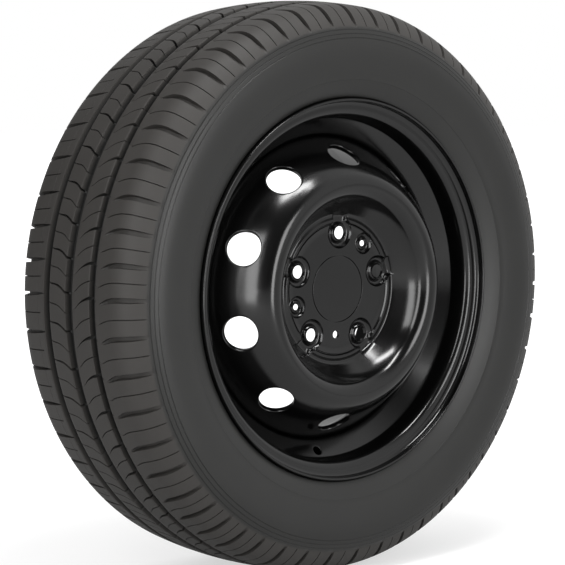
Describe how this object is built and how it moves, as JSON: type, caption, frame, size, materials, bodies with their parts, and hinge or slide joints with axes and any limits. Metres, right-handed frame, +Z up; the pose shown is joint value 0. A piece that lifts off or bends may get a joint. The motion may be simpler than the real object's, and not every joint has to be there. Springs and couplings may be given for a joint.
{
  "type": "wheel and tyre assembly",
  "caption": "Black pressed-steel road wheel with vented disc, keyhole bolt recesses and flat centre cap, fitted with a broad-ribbed tubeless radial tyre",
  "frame": {"origin": "wheel centre, on the axle line in the middle of the tyre's width", "axes": "axle along Y with the street side facing -Y, +Z up"},
  "size_m": [0.6643, 0.225, 0.6644],
  "materials": {
    "tyre_rubber": "matte moulded rubber",
    "wheel_enamel": "gloss black coat on steel",
    "cap_enamel": "satin black coat on steel"
  },
  "bodies": {
    "root": {"tyre": "tyre_rubber", "rim": "wheel_enamel", "disc": "wheel_enamel", "centre_cap": "cap_enamel", "disc_welds": "wheel_enamel"}
  },
  "joints": []
}
